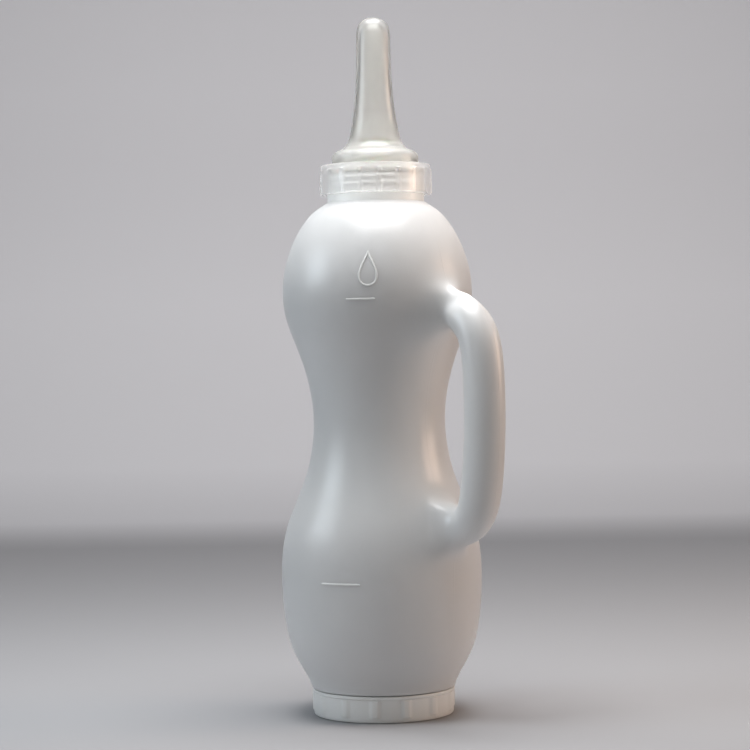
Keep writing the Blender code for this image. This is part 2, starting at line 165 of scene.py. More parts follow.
# Light and dark shade of the white plastics
BOTTLE_WHITES = ((0.88, 0.885, 0.88), (0.85, 0.86, 0.855))
CAP_WHITES = ((0.87, 0.875, 0.865), (0.84, 0.85, 0.84))

# Transmission of the teat's skirt and of its nozzle, and the heights in metres between which it changes
TEAT_CLARITY = (0.72, 0.86, 0.36, 0.39)

# Paper backdrop, in metres: its front edge, where it bends up, the bend's radius, its top and its half width
PAPER_FRONT, PAPER_BEND_START, PAPER_BEND, PAPER_TOP, PAPER_SIDE = 2.6, 1.2, 0.5, 2.4, 2.5
PAPER_BEND_STEPS = 12
PAPER_TINT = (0.985, 0.985, 1.03)
# Painted shade on the paper by height: darker on the floor and towards the top, standing in for the lamps'
# falloff
PAPER_PAINTED_SHADES = (  # height in metres, shade
    (0.0, 0.37), (0.02, 0.66), (0.08, 0.8), (0.3, 0.88), (0.6, 0.86), (1.0, 0.72),
)

# Lamps: place and aim as from_camera() takes them, size, watts and colour
GLOW_COLOUR = (1.0, 0.985, 0.95)
LAMPS = {
    "overhead": ((0.01, -0.06, 0.86), (0, 0, 0.3), (0.46, 0.46), 7.0, (1.0, 1.0, 0.99)),
    "left": ((-1.1, -0.2, 0.66), (0, 0, 0.3), (0.6, 0.5), 5.2, (0.82, 0.93, 1.0)),
    "fill": ((0.0, -1.25, 0.22), (0, 0, 0.15), (0.8, 0.2), 1.45, (1.0, 0.95, 0.88)),
    "right": ((1.2, 0.05, 0.5), (0, 0, 0.3), (0.6, 0.5), 5.6, (1.0, 0.72, 0.54)),
    "glow_front": ((-0.1, -0.55, 1.25), (0, 0, 0.36), (0.5, 0.5), 7.5, GLOW_COLOUR),
    "glow_back": ((0.1, 0.55, 1.25), (0, 0, 0.36), (0.5, 0.5), 7.5, GLOW_COLOUR),
    "wash": ((0.0, 0.3, 1.9), (0.0, 1.7, 0.5), (1.6, 0.5), 15, (1.0, 1.0, 1.0)),
}
SURROUNDINGS = (0.92, 0.88, 0.84, 1)
SURROUNDINGS_STRENGTH = 0.05

# Photographed view
CAMERA_AZIMUTH = math.radians(46)
CAMERA_DISTANCE = 1.438
CAMERA_HEIGHT = 0.241
CAMERA_TILT = math.radians(0.85)
CAMERA_ROLL = math.radians(-0.95)
CAMERA_AIM_LEFT = 0.0024
CAMERA_LENS = 106.2
CAMERA_SENSOR = 36.0


# ---------------------------------------------------------------- node helpers


def new_material(name):
    """A material with its nodes, its links and its shader."""
    made = bpy.data.materials.new(name)
    made.use_nodes = True
    return made, made.node_tree.nodes, made.node_tree.links, made.node_tree.nodes["Principled BSDF"]


def set_sockets(shader, **values):
    """Sets the shader's sockets by name, with underscores for the spaces."""
    for name, value in values.items():
        shader.inputs[name.replace("_", " ")].default_value = value


def noise(nodes, links, coordinates, scale, detail=2.0, roughness=0.5, stretch=(1, 1, 1)):
    """A noise texture in the object's own space, with its mapping stretched per axis."""
    mapping = nodes.new("ShaderNodeMapping")
    mapping.inputs["Scale"].default_value = stretch
    links.new(coordinates.outputs["Object"], mapping.inputs["Vector"])
    texture = nodes.new("ShaderNodeTexNoise")
    texture.inputs["Scale"].default_value = scale
    texture.inputs["Detail"].default_value = detail
    texture.inputs["Roughness"].default_value = roughness
    links.new(mapping.outputs["Vector"], texture.inputs["Vector"])
    return texture.outputs["Fac"]


def ranged(nodes, links, value, low, high, from_low=0.3, from_high=0.7):
    """A value moved from one range to another."""
    step = nodes.new("ShaderNodeMapRange")
    for name, number in (("From Min", from_low), ("From Max", from_high), ("To Min", low), ("To Max", high)):
        step.inputs[name].default_value = number
    links.new(value, step.inputs["Value"])
    return step.outputs["Result"]


def blended(nodes, links, value, first, second):
    """A colour between two, by a value from 0 to 1."""
    mix = nodes.new("ShaderNodeMix")
    mix.data_type = "RGBA"
    links.new(value, mix.inputs["Factor"])
    mix.inputs["A"].default_value = (*first, 1)
    mix.inputs["B"].default_value = (*second, 1)
    return mix.outputs["Result"]


def bumps(nodes, links, shader, layers):
    """Chains (height, strength, distance) bumps into the shader's normal."""
    normal = None
    for height, strength, distance in layers:
        bump = nodes.new("ShaderNodeBump")
        bump.inputs["Strength"].default_value = strength
        bump.inputs["Distance"].default_value = distance
        links.new(height, bump.inputs["Height"])
        if normal:
            links.new(normal, bump.inputs["Normal"])
        normal = bump.outputs["Normal"]
    links.new(normal, shader.inputs["Normal"])


def parting_line(nodes, links, coordinates, width):
    """A narrow band, from 0 to 1 at its middle, where the mould's halves met: the plane Y = 0."""
    split = nodes.new("ShaderNodeSeparateXYZ")
    links.new(coordinates.outputs["Object"], split.inputs["Vector"])
    away = nodes.new("ShaderNodeMath")
    away.operation = "ABSOLUTE"
    links.new(split.outputs["Y"], away.inputs[0])
    return ranged(nodes, links, away.outputs["Value"], 1.0, 0.0, 0.0, width)


# ---------------------------------------------------------------- materials


def polyethylene(name, light, dark, subsurface, depth):
    """Satin white polyethylene with orange peel, faint flow streaks and a parting line.

    subsurface is the share of the light that scatters inside it, and depth says how far, in metres.
    """
    made, nodes, links, shader = new_material(name)
    place = nodes.new("ShaderNodeTexCoord")
    cloudy = noise(nodes, links, place, 22, 3)
    streaks = noise(nodes, links, place, 60, 2, stretch=(1, 1, 0.12))
    peel = noise(nodes, links, place, 620, 2)
    grain = noise(nodes, links, place, 2600, 1)
    colour = blended(nodes, links, ranged(nodes, links, cloudy, 0, 1), light, dark)
    links.new(colour, shader.inputs["Base Color"])
    links.new(ranged(nodes, links, streaks, 0.27, 0.38, 0.0, 1.0), shader.inputs["Roughness"])
    seam = parting_line(nodes, links, place, 0.45 * MM)
    fine = ((peel, 0.08, 0.0003), (grain, 0.05, 0.0001))
    bumps(nodes, links, shader, ((seam, 0.35, 0.0002), (streaks, 0.08, 0.0004), *fine))
    set_sockets(shader, IOR=1.53, Subsurface_Weight=subsurface, Subsurface_Scale=depth)
    shader.inputs["Subsurface Radius"].default_value = (1.0, 1.0, 0.95)
    return made


def clear_polypropylene():
    """Moulded translucent polypropylene with a slightly wavy, satin skin."""
    made, nodes, links, shader = new_material("clear_polypropylene")
    place = nodes.new("ShaderNodeTexCoord")
    cloudy = noise(nodes, links, place, 90, 3)
    fine = noise(nodes, links, place, 900, 2)
    light, dark = (1.0, 0.995, 0.98), (0.97, 0.965, 0.95)
    colour = blended(nodes, links, ranged(nodes, links, cloudy, 0, 1), light, dark)
    links.new(colour, shader.inputs["Base Color"])
    links.new(ranged(nodes, links, fine, 0.12, 0.2), shader.inputs["Roughness"])
    bumps(nodes, links, shader, ((cloudy, 0.12, 0.0004), (fine, 0.08, 0.0001)))
    set_sockets(shader, IOR=1.49, Transmission_Weight=0.4, Alpha=0.32)
    set_sockets(shader, Subsurface_Weight=1.0, Subsurface_Scale=0.012, Subsurface_Radius=(1.0, 1.0, 1.0))
    return made


def silicone():
    """Clear, slightly yellow silicone with a satin skin. It is milkier in the thick skirt and flange."""
    made, nodes, links, shader = new_material("silicone")
    place = nodes.new("ShaderNodeTexCoord")
    cloudy = noise(nodes, links, place, 55, 3)
    streaks = noise(nodes, links, place, 130, 2, stretch=(1, 1, 0.15))
    fine = noise(nodes, links, place, 1300, 2)
    light, dark = (1.0, 0.995, 0.955), (0.98, 0.975, 0.93)
    colour = blended(nodes, links, ranged(nodes, links, cloudy, 0, 1), light, dark)
    links.new(colour, shader.inputs["Base Color"])
    links.new(ranged(nodes, links, streaks, 0.09, 0.16), shader.inputs["Roughness"])
    split = nodes.new("ShaderNodeSeparateXYZ")
    links.new(place.outputs["Object"], split.inputs["Vector"])
    clarity = ranged(nodes, links, split.outputs["Z"], *TEAT_CLARITY)
    links.new(clarity, shader.inputs["Transmission Weight"])
    bumps(nodes, links, shader, ((streaks, 0.05, 0.0003), (fine, 0.05, 0.0001)))
    set_sockets(shader, IOR=1.41)
    set_sockets(shader, Subsurface_Weight=1.0, Subsurface_Scale=0.008, Subsurface_Radius=(1.0, 1.0, 1.0))
    return made


def valve_plastic():
    """Rigid ivory moulded plastic of the valve."""
    made, nodes, links, shader = new_material("valve_plastic")
    place = nodes.new("ShaderNodeTexCoord")
    cloudy = noise(nodes, links, place, 120, 2)
    fine = noise(nodes, links, place, 1500, 2)
    light, dark = (0.93, 0.93, 0.84), (0.88, 0.88, 0.79)
    colour = blended(nodes, links, ranged(nodes, links, cloudy, 0, 1), light, dark)
    links.new(colour, shader.inputs["Base Color"])
    links.new(ranged(nodes, links, fine, 0.3, 0.42), shader.inputs["Roughness"])
    bumps(nodes, links, shader, ((fine, 0.1, 0.0001),))
    set_sockets(shader, IOR=1.5, Subsurface_Weight=0.2, Subsurface_Scale=0.002)
    return made


def stainless_steel():
    """Polished steel with fine scratches."""
    made, nodes, links, shader = new_material("stainless_steel")
    place = nodes.new("ShaderNodeTexCoord")
    scratches = noise(nodes, links, place, 900, 4, stretch=(1, 1, 0.1))
    light, dark = (0.72, 0.72, 0.74), (0.6, 0.6, 0.62)
    colour = blended(nodes, links, ranged(nodes, links, scratches, 0, 1), light, dark)
    links.new(colour, shader.inputs["Base Color"])
    links.new(ranged(nodes, links, scratches, 0.12, 0.25), shader.inputs["Roughness"])
    bumps(nodes, links, shader, ((scratches, 0.05, 0.0001),))
    set_sockets(shader, Metallic=1.0)
    return made


def seal_rubber():
    """Soft grey-white rubber with a matt, speckled skin."""
    made, nodes, links, shader = new_material("seal_rubber")
    place = nodes.new("ShaderNodeTexCoord")
    speckle = noise(nodes, links, place, 1100, 3)
    light, dark = (0.78, 0.77, 0.72), (0.68, 0.67, 0.63)
    colour = blended(nodes, links, ranged(nodes, links, speckle, 0, 1), light, dark)
    links.new(colour, shader.inputs["Base Color"])
    links.new(ranged(nodes, links, speckle, 0.5, 0.7), shader.inputs["Roughness"])
    bumps(nodes, links, shader, ((speckle, 0.2, 0.0001),))
    return made


def studio_paper():
    """Pale matt paper of the floor and the backdrop, with painted shade by height: darker below and towards
    the top.
    """
    made, nodes, links, shader = new_material("studio_paper")
    place = nodes.new("ShaderNodeTexCoord")
    split = nodes.new("ShaderNodeSeparateXYZ")
    links.new(place.outputs["Object"], split.inputs["Vector"])
    ramp = nodes.new("ShaderNodeValToRGB")
    # The ramp's stops paint shade by height: a darker floor, a lighter bend and lower wall, a darker top.
    stops = ramp.color_ramp.elements
    for height, shade in PAPER_PAINTED_SHADES[1:-1]:
        stops.new(height)
    for stop, (height, shade) in zip(stops, PAPER_PAINTED_SHADES):
        stop.color = (*(tint * shade for tint in PAPER_TINT), 1)
    links.new(split.outputs["Z"], ramp.inputs["Fac"])
    links.new(ramp.outputs["Color"], shader.inputs["Base Color"])
    bumps(nodes, links, shader, ((noise(nodes, links, place, 60, 4), 0.2, 0.001),))
    set_sockets(shader, Roughness=0.9)
    return made


# ---------------------------------------------------------------- mesh helpers


def finished(name, mesh_data, finish, body, slot, *nodes):
    """A smooth-shaded piece on a CAD body, which stands for the CAD nodes named."""
    bmesh.ops.recalc_face_normals(mesh_data, faces=mesh_data.faces)
    mesh = bpy.data.meshes.new(name)
    mesh_data.to_mesh(mesh)
    mesh_data.free()
    mesh.shade_smooth()
    mesh.set_sharp_from_angle(angle=SMOOTH_ANGLE)
    piece = bpy.data.objects.new(name, mesh)
    bpy.context.scene.collection.objects.link(piece)
    mesh.materials.append(finish)
    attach(piece, body)
    if nodes:
        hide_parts(*nodes)
    return piece


def rounded(corners, steps=4):
    """An outline whose corners, (radius, height, fillet) in metres, are rounded with short curves."""
    count = len(corners)
    outline = []
    for i, (radius, height, *fillet) in enumerate(corners):
        here = Vector((radius, height))
        if not fillet or not fillet[0]:
            outline.append(here)
            continue
        ends = []
        for other in (corners[i - 1], corners[(i + 1) % count]):
            leg = Vector(other[:2]) - here
            ends.append(here + leg * min(fillet[0] / leg.length, 0.48))
        for k in range(steps + 1):
            t = k / steps
            outline.append(ends[0] * (1 - t) ** 2 + here * 2 * t * (1 - t) + ends[1] * t * t)
    return outline


def smooth_path(points, steps=5):
    """A smooth curve through points, with this many steps between each two."""
    points = [Vector(point) for point in points]
    ends = [2 * points[0] - points[1], *points, 2 * points[-1] - points[-2]]
    path = []
    for before, start, end, after in zip(ends, ends[1:], ends[2:], ends[3:]):
        for k in range(steps):
            t = k / steps
            path.append(
                0.5 * (2 * start + (end - before) * t + (2 * before - 5 * start + 4 * end - after) * t * t
                       + (3 * start - before - 3 * end + after) * t**3)
            )
    return [*path, points[-1]]


def joined(mesh_data, ring, following):
    """Quads between two rings of equally many vertices."""
    for i, corner in enumerate(ring):
        mesh_data.faces.new((ring[i - 1], corner, following[i], following[i - 1]))


def turned(outline, angles, relief=None, capped=False):
    """A bmesh turned about Z from an outline of (radius, height).

    relief(radius, height, angle) adds to the radius. A capped outline ends in a flat face at both ends.
    """
    mesh_data = bmesh.new()
    rings = []
    for radius, height in outline:
        ring = []
        for angle in angles:
            reach = radius + (relief(radius, height, angle) if relief else 0.0)
            ring.append(mesh_data.verts.new((reach * math.cos(angle), reach * math.sin(angle), height)))
        rings.append(ring)
    for ring, following in zip(rings, rings[1:]):
        joined(mesh_data, ring, following)
    if capped:
        mesh_data.faces.new(rings[0])
        mesh_data.faces.new(rings[-1])
    else:
        joined(mesh_data, rings[-1], rings[0])
    return mesh_data


def around(steps):
    """Equally spaced angles of one turn."""
    return [TURN * i / steps for i in range(steps)]


def eased(value):
    """0 to 1 with a soft start and end."""
    value = min(max(value, 0.0), 1.0)
    return value * value * (3 - 2 * value)


def thread_relief(thread, height, angle):
    """How far a screw thread stands out of its wall at this height and angle."""
    share = (angle % TURN) / TURN
    best = 0.0
    for whole in range(math.ceil(thread["turns"]) + 1):
        turned_by = whole + share
        if turned_by > thread["turns"]:
            break
        away = abs(height - thread["start"] - PITCH * turned_by)
        slope = (THREAD_ROOT_WIDTH / 2 - away) / (THREAD_ROOT_WIDTH / 2 - THREAD_CREST_WIDTH / 2)
        fade = min(1.0, turned_by / THREAD_FADE, (thread["turns"] - turned_by) / THREAD_FADE)
        best = max(best, THREAD_DEPTH * eased(slope) * eased(fade))
    return best * thread["side"]


def thread_rows(radius, low, high):
    """Closely spaced outline points up a wall that carries a thread."""
    count = math.ceil((high - low) / THREAD_ROW)
    return [(radius, low + (high - low) * i / count) for i in range(count + 1)]


# ---------------------------------------------------------------- bottle


def through(points):
    """Cage points whose subdivided curve passes through the points given. The two ends stay as they are."""
    triples = zip(points, points[1:], points[2:])
    inner = [here - (before - 2 * here + after) / 6 for before, here, after in triples]
    return [points[0], *inner, points[-1]]


def body_cage(mesh_data):
    """The body's rings of cage vertices, from the foot up."""
    angles = [math.radians(angle) for angle in COLUMN_ANGLES]
    gaps = [math.cos(angles[(i + 1) % len(angles)] - angle) for i, angle in enumerate(angles)]
    spread = [6 / (4 + gaps[i - 1] + gaps[i]) for i in range(len(angles))]
    grid = []
    for point in through([Vector((radius, 0, height)) * MM for height, radius in BODY_PROFILE]):
        radii = [point.x * more for more in spread]
        ring = [(r * math.cos(a), r * math.sin(a), point.z) for r, a in zip(radii, angles)]
        grid.append([mesh_data.verts.new(corner) for corner in ring])
    for ring, following in zip(grid, grid[1:]):
        joined(mesh_data, ring, following)
    return grid


def open_patch(mesh_data, grid, height):
    """Opens four faces round the cage vertex at Y 0 and this height. Their edge runs from the top by +Y."""
    row = [station[0] for station in BODY_PROFILE].index(height)
    low, middle, high = grid[row - 1], grid[row], grid[row + 1]
    bmesh.ops.delete(mesh_data, geom=[middle[0]], context="VERTS")
    return [high[0], high[1], middle[1], low[1], low[0], low[-1], middle[-1], high[-1]]


def handle_rings(mesh_data):
    """The handle's rings of cage vertices, each starting on its outer side and going round by +Y."""
    centres = through([Vector((x, 0, z)) * MM for x, z, depth, width in HANDLE_STATIONS])
    spread = 3 / (2 + math.cos(TURN / RING_COLUMNS))
    rings = []
    for i, (centre, (x, z, depth, width)) in enumerate(zip(centres, HANDLE_STATIONS)):
        along = (centres[min(i + 1, len(centres) - 1)] - centres[max(i - 1, 0)]).normalized()
        outward = Vector((-along.z, 0, along.x)) * depth * spread * MM
        sideways = Vector((0, width * spread * MM, 0))
        oval = [(math.cos(turn), math.sin(turn)) for turn in around(RING_COLUMNS)]
        offsets = [outward * out + sideways * side for out, side in (oval if i else FIN_SECTION)]
        rings.append([mesh_data.verts.new(centre + offset) for offset in offsets])
    return rings


def pinch_ridge(mesh_data, tops):
    """Sharpens the ridge that the mould pinches on the junction's top. It fades out along the handle."""
    crease = mesh_data.edges.layers.float.new("crease_edge")
    for start, end, sharpness in zip(tops, tops[1:], RIDGE_CREASE):
        mesh_data.edges.get((start, end))[crease] = sharpness


def subdivided(mesh_data, levels):
    """The bmesh after Catmull-Clark subdivision."""
    mesh = bpy.data.meshes.new("cage")
    mesh_data.to_mesh(mesh)
    mesh_data.free()
    cage = bpy.data.objects.new("cage", mesh)
    bpy.context.scene.collection.objects.link(cage)
    smooth = cage.modifiers.new("smooth", "SUBSURF")
    smooth.levels = levels
    smooth.render_levels = levels
    graph = bpy.context.evaluated_depsgraph_get()
    fine = bmesh.new()
    fine.from_object(cage, graph)
    bpy.data.objects.remove(cage)
    bpy.data.meshes.remove(mesh)
    return fine


def rim_loop(mesh_data, above):
    """The open rim's vertices at the top or at the bottom, in order of their angle."""
    middle = (NECK_RIM + FOOT_RIM) / 2
    rim = [v for v in mesh_data.verts if v.is_boundary and (v.co.z > middle) == above]
    return sorted(rim, key=lambda v: math.atan2(v.co.y, v.co.x))


def stitched(mesh_data, outer_loop, outline, inner_loop, thread=None):
    """Rings from the outer rim along an outline to the inner rim, with a thread on the outer wall."""
    angles = [math.atan2(v.co.y, v.co.x) for v in outer_loop]
    previous = outer_loop
    for radius, height in outline:
        ring = []
        for angle in angles:
            threaded = thread and radius > FOOT_BORE_R + MM
            reach = radius + (thread_relief(thread, height, angle) if threaded else 0.0)
            ring.append(mesh_data.verts.new((reach * math.cos(angle), reach * math.sin(angle), height)))
        joined(mesh_data, previous, ring)
        previous = ring
    joined(mesh_data, previous, inner_loop)


def shoulder_outline():
    """From the outer skin over the shoulder's top, into the neck's wall, and down to the inner skin."""
    return rounded((
        (33.2 * MM, 330.8 * MM),
        (31.6 * MM, SHOULDER_TOP, 0.4 * MM), (SHOULDER_INNER_R, SHOULDER_TOP, 0.3 * MM),
        (SHOULDER_INNER_R, SHOULDER_TOP - 1.6 * MM, 0.6 * MM), (31.0 * MM, 328.9 * MM),
    ))


def neck(finish):
    """The bottle's neck: a band, a thread above it, a rounded rim and the bore."""
    band = rounded((
        (NECK_BAND_R, NECK_FOOT), (NECK_BAND_R, NECK_BAND_TOP, 0.3 * MM),
        (NECK_R, NECK_BAND_TOP + 0.6 * MM),
    ))
    threaded = thread_rows(NECK_R, NECK_BAND_TOP + 0.8 * MM, NECK_RIM - 0.8 * MM)
    rim = rounded((
        (NECK_R, NECK_RIM - 0.7 * MM), (NECK_R, NECK_RIM, RIM_ROUNDING),
        (NECK_BORE_R, NECK_RIM, RIM_ROUNDING), (NECK_BORE_R, NECK_FOOT),
    ))

    def relief(radius, height, angle):
        return thread_relief(NECK_THREAD, height, angle) if radius > NECK_R - NEAR else 0.0

    made = turned([*band, *threaded, *rim], around(NECK_STEPS), relief)
    return finished("bottle_neck", made, finish, "bottle", "white_polyethylene")


def foot_outline():
    """From the body down over the ledge and the foot's thread, round the rim and up the bore."""
    upper = rounded((
        (46.7 * MM, 18.7 * MM), (LEDGE_R, LEDGE_Z, 0.5 * MM),
        (FOOT_R, LEDGE_Z, 0.4 * MM), (FOOT_R, LEDGE_Z - 0.9 * MM),
    ))
    threaded = thread_rows(FOOT_R, LEDGE_Z - MM, FOOT_RIM + 0.8 * MM)
    lower = rounded((
        (FOOT_R, FOOT_RIM + 0.7 * MM), (FOOT_R, FOOT_RIM, RIM_ROUNDING),
        (FOOT_BORE_R, FOOT_RIM, RIM_ROUNDING), (FOOT_BORE_R, 20.0 * MM, 1.0 * MM), (44.0 * MM, 20.5 * MM),
    ))
    return [*upper, *threaded, *lower]


def bottle(finish, mark_finish):
    """The bottle: an outer skin with its handle, an inner skin a wall's thickness inside, a threaded foot.

    The raised marks on it have a finish of their own.
    """
    cage = bmesh.new()
    grid = body_cage(cage)
    top_edge = open_patch(cage, grid, HANDLE_TOP_HEIGHT)
    low_edge = open_patch(cage, grid, HANDLE_LOW_HEIGHT)
    half = RING_COLUMNS // 2
    low_edge = [low_edge[(half - i) % RING_COLUMNS] for i in range(RING_COLUMNS)]
    rings = [top_edge, *handle_rings(cage), low_edge]
    for ring, following in zip(rings, rings[1:]):
        joined(cage, ring, following)
    pinch_ridge(cage, [ring[0] for ring in rings[:4]])
    bmesh.ops.recalc_face_normals(cage, faces=cage.faces)

    skin = subdivided(cage, BODY_LEVELS)
    skin.normal_update()
    top, bottom = rim_loop(skin, True), rim_loop(skin, False)
    outer_faces = list(skin.faces)
    inner = {v: skin.verts.new(v.co - v.normal * WALL) for v in list(skin.verts)}
    for face in outer_faces:
        skin.faces.new([inner[v] for v in reversed(face.verts)])
    stitched(skin, top, shoulder_outline(), [inner[v] for v in top])
    stitched(skin, bottom, foot_outline(), [inner[v] for v in bottom], FOOT_THREAD)
    skin.normal_update()
    surface = BVHTree.FromBMesh(skin)
    finished("bottle_body", skin, finish, "bottle", "white_polyethylene", "bottle_shell")
    marks(surface, mark_finish)


def raised_line(name, surface, path, finish, closed=False):
    """A low rounded line that follows the body's surface along a path of (angle, height)."""
    points = [Vector((angle * BODY_REACH, height)) for angle, height in path]
    line = bmesh.new()
    rings = []
    for i, point in enumerate(points):
        before = points[i - 1] if closed or i else point
        after = points[(i + 1) % len(points)] if closed or i + 1 < len(points) else point
        across = (after - before).normalized().orthogonal()
        ring = []
        for side, rise in MARK_SECTION:
            spot = point + across * side * MARK_WIDTH / 2
            angle = spot.x / BODY_REACH
            outward = Vector((math.cos(angle), math.sin(angle), 0))
            start = outward * 3 * BODY_REACH + Vector((0, 0, spot.y))
            place, normal, face, distance = surface.ray_cast(start, -outward)
            ring.append(line.verts.new(place + normal * rise))
        rings.append(ring)
    for ring, following in zip(rings, rings[1:]):
        joined(line, ring, following)
    if closed:
        joined(line, rings[-1], rings[0])
    else:
        line.faces.new(rings[0])
        line.faces.new(rings[-1])
    finished(name, line, finish, "bottle", "white_polyethylene")


def marks(surface, finish):
    """Two short level marks, and a plain milk drop on the chest."""
    for i, ((start, end), height) in enumerate(LEVEL_MARKS):
        angles = [math.radians(start + (end - start) * k / MARK_STEPS) for k in range(MARK_STEPS + 1)]
        raised_line(f"level_mark_{i + 1}", surface, [(angle, height * MM) for angle in angles], finish)
    angle, height = math.radians(DROP_CENTRE[0]), DROP_CENTRE[1] * MM
    drop = []
    for turn in around(DROP_STEPS):
        # a circle whose width closes to a point at the top
        wide = DROP_HALF_WIDTH * math.sin(turn) * math.sin(turn / 2) ** DROP_POINT
        drop.append((angle + wide / BODY_REACH, height + DROP_HEIGHT / 2 * math.cos(turn)))
    raised_line("drop_mark", surface, drop, finish, closed=True)


# ---------------------------------------------------------------- collar


def rib_relief(ribs, height, low, high, angle):
    """How far a grip rib stands out at this height and angle, with soft ends."""
    spacing = TURN / ribs
    away = abs((angle + spacing / 2) % spacing - spacing / 2) / spacing
    side = eased((RIB_HALF_WIDTH - away) / RIB_SLOPE)
    ends = eased((height - low) / MM) * eased((high - height) / MM)
    return RIB_RISE * side * ends


def collar(finish):
    """The clear ring that clamps the teat: ribs outside, a rounded top edge, and its own thread inside."""
    low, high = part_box("screw_collar")[0].z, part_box("screw_collar")[1].z
    lip_low = high - COLLAR_LIP

    def relief(radius, height, angle):
        if radius > COLLAR_R - NEAR:
            return rib_relief(COLLAR_RIBS, height, low - MM, high - 3.0 * MM, angle)
        if abs(radius - COLLAR_BORE_R) < NEAR:
            return thread_relief(COLLAR_THREAD, height, angle)
        return 0.0

    lower = rounded((
        (COLLAR_BORE_R, low + 0.8 * MM), (COLLAR_BORE_R, low, 0.4 * MM),
        (COLLAR_R, low, 0.5 * MM), (COLLAR_R, low + MM),
    ))
    grip = [(COLLAR_R, low + (high - low) * share) for share in COLLAR_ROWS]
    upper = rounded((
        (COLLAR_R, high - 2.0 * MM), (COLLAR_R, high, 1.8 * MM),
        (COLLAR_LIP_R, high, 0.6 * MM), (COLLAR_LIP_R, lip_low, 0.4 * MM),
        (COLLAR_BORE_R, lip_low, 0.5 * MM), (COLLAR_BORE_R, high - 3 * MM),
    ))
    inside = thread_rows(COLLAR_BORE_R, high - 3.2 * MM, low + 1.0 * MM)
    made = turned([*lower, *grip, *upper, *inside], around(COLLAR_RIBS * COLLAR_RIB_STEPS), relief)
    return finished("collar_ring", made, finish, "collar", "clear_polypropylene", "screw_collar")


# ---------------------------------------------------------------- teat


def teat(finish):
    """The hollow teat: clamped flange, flared skirt, long nozzle, round tip with a small milk hole."""
    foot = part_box("teat")[0].z
    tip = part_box("teat")[1].z
    flange_top, pocket_top = foot + FLANGE_HEIGHT, foot + DISC_POCKET_DEPTH
    skin = smooth_path([(radius * MM, height * MM) for radius, height in TEAT_SKIN])
    bore = smooth_path([(radius * MM, height * MM) for radius, height in TEAT_BORE])
    flange = rounded((
        (DISC_POCKET_R, foot + 1.0 * MM), (DISC_POCKET_R, foot, 0.3 * MM),
        (FLANGE_R, foot, 0.5 * MM), (FLANGE_R, flange_top, 0.6 * MM),
        (SKIRT_R, flange_top, 0.4 * MM), (SKIRT_R, SKIRT_LOW),
    ))
    pocket = rounded((
        (SKIRT_BORE_R, SKIRT_BORE_LOW), (SKIRT_BORE_R, pocket_top, 0.3 * MM),
        (DISC_POCKET_R, pocket_top, 0.3 * MM),
    ))
    hole = [(TEAT_HOLE_R, tip), (TEAT_HOLE_R, TEAT_HOLE_LOW)]
    made = turned([*flange, *skin, *hole, *bore, *pocket], around(TEAT_STEPS))
    return finished("teat_body", made, finish, "teat_unit", "silicone", "teat")


# ---------------------------------------------------------------- valve


def valve(finish, steel):
    """The valve under the teat: disc and tube, the pressed-in cage with one bar, and the steel check ball.

    The cage's ring and its bar are two pieces. The disc and the ring are returned.
    """
    disc_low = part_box("valve_insert")[0].z
    tube_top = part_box("valve_insert")[1].z
    cage_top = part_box("valve_cage")[1].z
    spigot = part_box("valve_cage")[0].z
    disc_top = disc_low + DISC_THICKNESS
    disc = rounded((
        (SEAT_R, disc_low, 0.3 * MM), (DISC_R, disc_low, 0.4 * MM), (DISC_R, disc_top, 0.4 * MM),
        (TUBE_R, disc_top, 0.8 * MM), (TUBE_R, tube_top, 0.4 * MM), (TUBE_BORE_R, tube_top, 0.3 * MM),
        (TUBE_BORE_R, TUBE_FLOOR_Z, 0.5 * MM), (SEAT_R, SEAT_Z, 0.3 * MM),
    ))
    made = turned(disc, around(VALVE_STEPS))
    seat = finished("valve_seat", made, finish, "teat_unit", "valve_plastic", "valve_insert")
    ring = rounded((
        (CAGE_BORE_R, spigot, 0.2 * MM), (SPIGOT_R, spigot, 0.3 * MM),
        (SPIGOT_R, CAGE_SHOULDER_Z, 0.2 * MM), (TUBE_R, CAGE_SHOULDER_Z, 0.3 * MM),
        (TUBE_R, cage_top, 0.9 * MM), (CAGE_BORE_R, cage_top, 0.4 * MM),
    ))
    made = turned(ring, around(VALVE_STEPS))
    crown = finished("valve_crown", made, finish, "teat_unit", "valve_plastic", "valve_cage")
    bar = bmesh.new()
    bmesh.ops.create_cube(bar, size=1)
    bmesh.ops.scale(bar, verts=bar.verts, vec=VALVE_BAR)
    bmesh.ops.bevel(bar, geom=bar.edges[:], offset=VALVE_BAR_BEVEL, segments=3, affect="EDGES")
    bmesh.ops.translate(bar, verts=bar.verts, vec=(0, 0, VALVE_BAR_Z))
    finished("valve_bar", bar, finish, "teat_unit", "valve_plastic")
    ball = bmesh.new()
    middle = (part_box("valve_ball")[0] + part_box("valve_ball")[1]) / 2
    place = Matrix.Translation((0, 0, middle.z))
    bmesh.ops.create_icosphere(ball, subdivisions=5, radius=BALL_R, matrix=place)
    finished("check_ball", ball, steel, "ball", "stainless_steel", "valve_ball")
    return seat, crown


# ---------------------------------------------------------------- base


